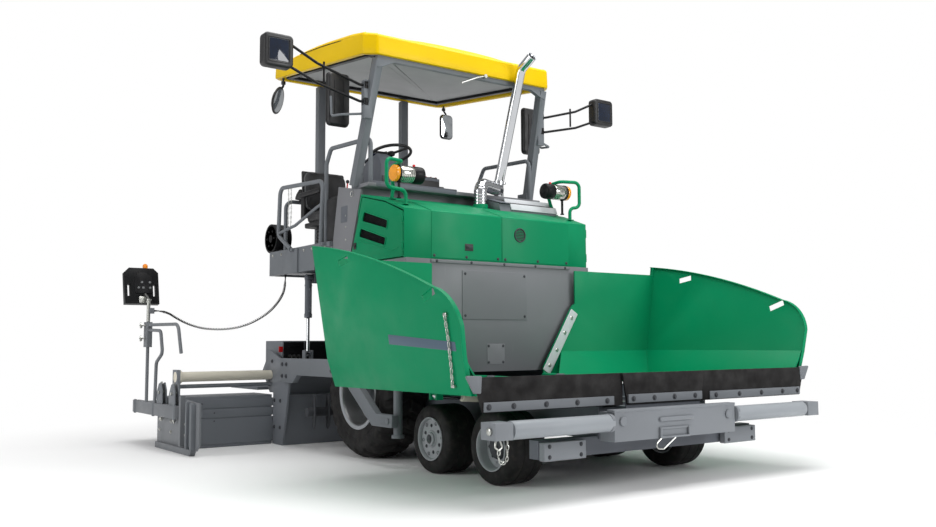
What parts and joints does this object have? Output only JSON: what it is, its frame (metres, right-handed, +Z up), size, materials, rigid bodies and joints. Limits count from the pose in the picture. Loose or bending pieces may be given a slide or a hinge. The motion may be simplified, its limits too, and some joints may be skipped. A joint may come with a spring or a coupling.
{
  "type": "wheeled asphalt paver",
  "caption": "Wheeled asphalt paver with folding hopper wings, push rollers, augers, a lifting extendable screed and an operator's platform under a canopy.",
  "frame": {"origin": "on the ground, in the middle of the machine's length and width", "axes": "+Z up, -Y the direction of travel with the hopper in front, +X the machine's left"},
  "size_m": [4.06, 4.9499, 3.4],
  "materials": {
    "green_paint": "gloss",
    "yellow_moulding": "gloss",
    "dark_grey_paint": "satin",
    "grey_paint": "satin",
    "cream_paint": "gloss",
    "black_paint": "satin",
    "rubber": "matt",
    "tyre": "matt",
    "chrome": "polished",
    "steel": "brushed",
    "cast_iron": "rough",
    "black_plastic": "matt",
    "leather": "grained",
    "mirror": "polished",
    "sign_white": "satin",
    "amber": "gloss"
  },
  "bodies": {
    "chassis": {"main_frame": "dark_grey_paint", "bogie_beams": "cast_iron", "rear_drives": "cast_iron", "conveyor": "steel", "tractor_body": "grey_paint", "engine": "cast_iron", "hood": "green_paint", "air_box": "black_paint", "exhaust": "chrome", "platform": "grey_paint", "hose_reel": "black_plastic", "console": "black_plastic", "seats": "leather", "canopy_roof": "yellow_moulding", "canopy_frame": "grey_paint", "traffic_signs": "sign_white", "mirrors": "mirror", "work_lights": "black_paint", "centre_apron": "rubber", "levelling_cylinders": "cream_paint", "remote_cable": "rubber"},
    "right_front_steering_knuckle": {"knuckle_right_front": "cast_iron"},
    "right_front_bogie_wheel": {"bogie_wheel_right_front": "tyre"},
    "right_rear_steering_knuckle": {"knuckle_right_rear": "cast_iron"},
    "right_rear_bogie_wheel": {"bogie_wheel_right_rear": "tyre"},
    "right_drive_wheel": {"drive_rim_right": "steel", "drive_tyre_right": "tyre"},
    "right_hopper_wing": {"wing_right": "green_paint", "wing_apron_right": "rubber"},
    "right_wing_cylinder_barrel": {"wing_barrel_right": "cream_paint"},
    "right_wing_cylinder_rod": {"wing_rod_right": "chrome"},
    "right_hood_door": {"hood_door_right": "green_paint"},
    "right_auger": {"auger_right": "cast_iron"},
    "right_push_roller": {"push_roller_right": "steel"},
    "right_lift_cylinder_barrel": {"lift_barrel_right": "cream_paint"},
    "right_lift_cylinder_rod": {"lift_rod_right": "chrome"},
    "right_screed_extension": {"extension_right": "grey_paint", "end_plate_right": "dark_grey_paint"},
    "left_front_steering_knuckle": {"knuckle_left_front": "cast_iron"},
    "left_front_bogie_wheel": {"bogie_wheel_left_front": "tyre"},
    "left_rear_steering_knuckle": {"knuckle_left_rear": "cast_iron"},
    "left_rear_bogie_wheel": {"bogie_wheel_left_rear": "tyre"},
    "left_drive_wheel": {"drive_rim_left": "steel", "drive_tyre_left": "tyre"},
    "left_hopper_wing": {"wing_left": "green_paint", "wing_apron_left": "rubber"},
    "left_wing_cylinder_barrel": {"wing_barrel_left": "cream_paint"},
    "left_wing_cylinder_rod": {"wing_rod_left": "chrome"},
    "left_hood_door": {"hood_door_left": "green_paint"},
    "left_auger": {"auger_left": "cast_iron"},
    "left_push_roller": {"push_roller_left": "steel"},
    "left_lift_cylinder_barrel": {"lift_barrel_left": "cream_paint"},
    "left_lift_cylinder_rod": {"lift_rod_left": "chrome"},
    "left_screed_extension": {"extension_left": "grey_paint", "end_plate_left": "dark_grey_paint"},
    "push_beam_unit": {"push_beam": "dark_grey_paint"},
    "screed_unit": {"screed": "grey_paint", "tow_arms": "grey_paint"},
    "steering_wheel_unit": {"steering_wheel": "black_plastic"}
  },
  "joints": [
    {"name": "right_front_steer", "type": "hinge", "parent": "chassis", "child": "right_front_steering_knuckle", "pos_m": [-0.64, -1.717, 0.23], "axis": [0, 0, 1], "range_deg": [-15, 15]},
    {"name": "right_front_roll", "type": "hinge", "parent": "right_front_steering_knuckle", "child": "right_front_bogie_wheel", "pos_m": [-0.748, -1.717, 0.23], "axis": [1, 0, 0], "continuous": true},
    {"name": "right_rear_steer", "type": "hinge", "parent": "chassis", "child": "right_rear_steering_knuckle", "pos_m": [-0.64, -1.043, 0.23], "axis": [0, 0, 1], "range_deg": [-15, 15]},
    {"name": "right_rear_roll", "type": "hinge", "parent": "right_rear_steering_knuckle", "child": "right_rear_bogie_wheel", "pos_m": [-0.748, -1.043, 0.23], "axis": [1, 0, 0], "continuous": true},
    {"name": "left_front_steer", "type": "hinge", "parent": "chassis", "child": "left_front_steering_knuckle", "pos_m": [0.64, -1.717, 0.23], "axis": [0, 0, 1], "range_deg": [-15, 15]},
    {"name": "left_front_roll", "type": "hinge", "parent": "left_front_steering_knuckle", "child": "left_front_bogie_wheel", "pos_m": [0.748, -1.717, 0.23], "axis": [1, 0, 0], "continuous": true},
    {"name": "left_rear_steer", "type": "hinge", "parent": "chassis", "child": "left_rear_steering_knuckle", "pos_m": [0.64, -1.043, 0.23], "axis": [0, 0, 1], "range_deg": [-15, 15]},
    {"name": "left_rear_roll", "type": "hinge", "parent": "left_rear_steering_knuckle", "child": "left_rear_bogie_wheel", "pos_m": [0.748, -1.043, 0.23], "axis": [1, 0, 0], "continuous": true},
    {"name": "steering_wheel_turn", "type": "hinge", "parent": "chassis", "child": "steering_wheel_unit", "pos_m": [-0.3, 0.418, 2.476], "axis": [0, 0.2691, 0.9631], "range_deg": [-540, 540]},
    {"name": "right_drive_roll", "type": "hinge", "parent": "chassis", "child": "right_drive_wheel", "pos_m": [-0.677, 0, 0.5], "axis": [1, 0, 0], "continuous": true},
    {"name": "left_drive_roll", "type": "hinge", "parent": "chassis", "child": "left_drive_wheel", "pos_m": [0.677, 0, 0.5], "axis": [1, 0, 0], "continuous": true},
    {"name": "push_beam_swing", "type": "hinge", "parent": "chassis", "child": "push_beam_unit", "pos_m": [0, -2.385, 0.385], "axis": [0, 0, 1], "range_deg": [-5, 5]},
    {"name": "right_push_roller_roll", "type": "hinge", "parent": "push_beam_unit", "child": "right_push_roller", "pos_m": [-0.917, -2.425, 0.41], "axis": [1, 0, 0], "continuous": true},
    {"name": "left_push_roller_roll", "type": "hinge", "parent": "push_beam_unit", "child": "left_push_roller", "pos_m": [0.917, -2.425, 0.41], "axis": [1, 0, 0], "continuous": true},
    {"name": "right_wing_fold", "type": "hinge", "parent": "chassis", "child": "right_hopper_wing", "pos_m": [-0.33, -1.54, 0.62], "axis": [0, 1, 0], "range_deg": [0, 50]},
    {"name": "right_wing_cylinder_swing", "type": "hinge", "parent": "chassis", "child": "right_wing_cylinder_barrel", "pos_m": [-0.52, -1.38, 0.5], "axis": [0, 1, 0], "range_deg": [0, 57.5]},
    {"name": "right_wing_cylinder_stroke", "type": "slide", "parent": "right_wing_cylinder_barrel", "child": "right_wing_cylinder_rod", "axis": [-0.9972, 0, 0.0753], "range_m": [0, 0.174]},
    {"name": "left_wing_fold", "type": "hinge", "parent": "chassis", "child": "left_hopper_wing", "pos_m": [0.33, -1.54, 0.62], "axis": [0, -1, 0], "range_deg": [0, 50]},
    {"name": "left_wing_cylinder_swing", "type": "hinge", "parent": "chassis", "child": "left_wing_cylinder_barrel", "pos_m": [0.52, -1.38, 0.5], "axis": [0, -1, 0], "range_deg": [0, 57.5]},
    {"name": "left_wing_cylinder_stroke", "type": "slide", "parent": "left_wing_cylinder_barrel", "child": "left_wing_cylinder_rod", "axis": [0.9972, 0, 0.0753], "range_m": [0, 0.174]},
    {"name": "right_hood_door_swing", "type": "hinge", "parent": "chassis", "child": "right_hood_door", "pos_m": [-0.8895, -0.712, 1.66], "axis": [0, 0, 1], "range_deg": [0, 85]},
    {"name": "left_hood_door_swing", "type": "hinge", "parent": "chassis", "child": "left_hood_door", "pos_m": [0.8895, -0.712, 1.66], "axis": [0, 0, -1], "range_deg": [0, 85]},
    {"name": "right_auger_turn", "type": "hinge", "parent": "chassis", "child": "right_auger", "pos_m": [-0.46, 0.85, 0.3], "axis": [1, 0, 0], "continuous": true},
    {"name": "left_auger_turn", "type": "hinge", "parent": "chassis", "child": "left_auger", "pos_m": [0.46, 0.85, 0.3], "axis": [1, 0, 0], "continuous": true},
    {"name": "screed_lift", "type": "hinge", "parent": "chassis", "child": "screed_unit", "pos_m": [0, -0.65, 0.327], "axis": [1, 0, 0], "range_deg": [0, 10]},
    {"name": "right_lift_cylinder_swing", "type": "hinge", "parent": "chassis", "child": "right_lift_cylinder_barrel", "pos_m": [-0.8, 0.96, 1.44], "axis": [1, 0, 0], "range_deg": [-15.6, 0]},
    {"name": "right_lift_cylinder_stroke", "type": "slide", "parent": "right_lift_cylinder_barrel", "child": "right_lift_cylinder_rod", "axis": [0, 0, 1], "range_m": [0, 0.259]},
    {"name": "left_lift_cylinder_swing", "type": "hinge", "parent": "chassis", "child": "left_lift_cylinder_barrel", "pos_m": [0.8, 0.96, 1.44], "axis": [1, 0, 0], "range_deg": [-15.6, 0]},
    {"name": "left_lift_cylinder_stroke", "type": "slide", "parent": "left_lift_cylinder_barrel", "child": "left_lift_cylinder_rod", "axis": [0, 0, 1], "range_m": [0, 0.259]},
    {"name": "right_extension_slide", "type": "slide", "parent": "screed_unit", "child": "right_screed_extension", "axis": [1, 0, 0], "range_m": [0, 0.8], "deforming": ["remote_cable"]},
    {"name": "left_extension_slide", "type": "slide", "parent": "screed_unit", "child": "left_screed_extension", "axis": [-1, 0, 0], "range_m": [0, 0.8]}
  ],
  "couplings": [
    {"joint": "right_rear_steer", "follows": "right_front_steer", "ratio": 1},
    {"joint": "left_front_steer", "follows": "right_front_steer", "ratio": 1},
    {"joint": "left_rear_steer", "follows": "right_front_steer", "ratio": 1},
    {"joint": "steering_wheel_turn", "follows": "right_front_steer", "ratio": 36},
    {"joint": "right_wing_cylinder_swing", "follows": "right_wing_fold", "ratio": 1.1474},
    {"joint": "right_wing_cylinder_stroke", "follows": "right_wing_fold", "m_per_rad": 0.19812},
    {"joint": "left_wing_cylinder_swing", "follows": "left_wing_fold", "ratio": 1.1474},
    {"joint": "left_wing_cylinder_stroke", "follows": "left_wing_fold", "m_per_rad": 0.19812},
    {"joint": "right_lift_cylinder_swing", "follows": "screed_lift", "ratio": -1.5525},
    {"joint": "right_lift_cylinder_stroke", "follows": "screed_lift", "m_per_rad": 1.4796},
    {"joint": "left_lift_cylinder_swing", "follows": "screed_lift", "ratio": -1.5525},
    {"joint": "left_lift_cylinder_stroke", "follows": "screed_lift", "m_per_rad": 1.4796}
  ]
}
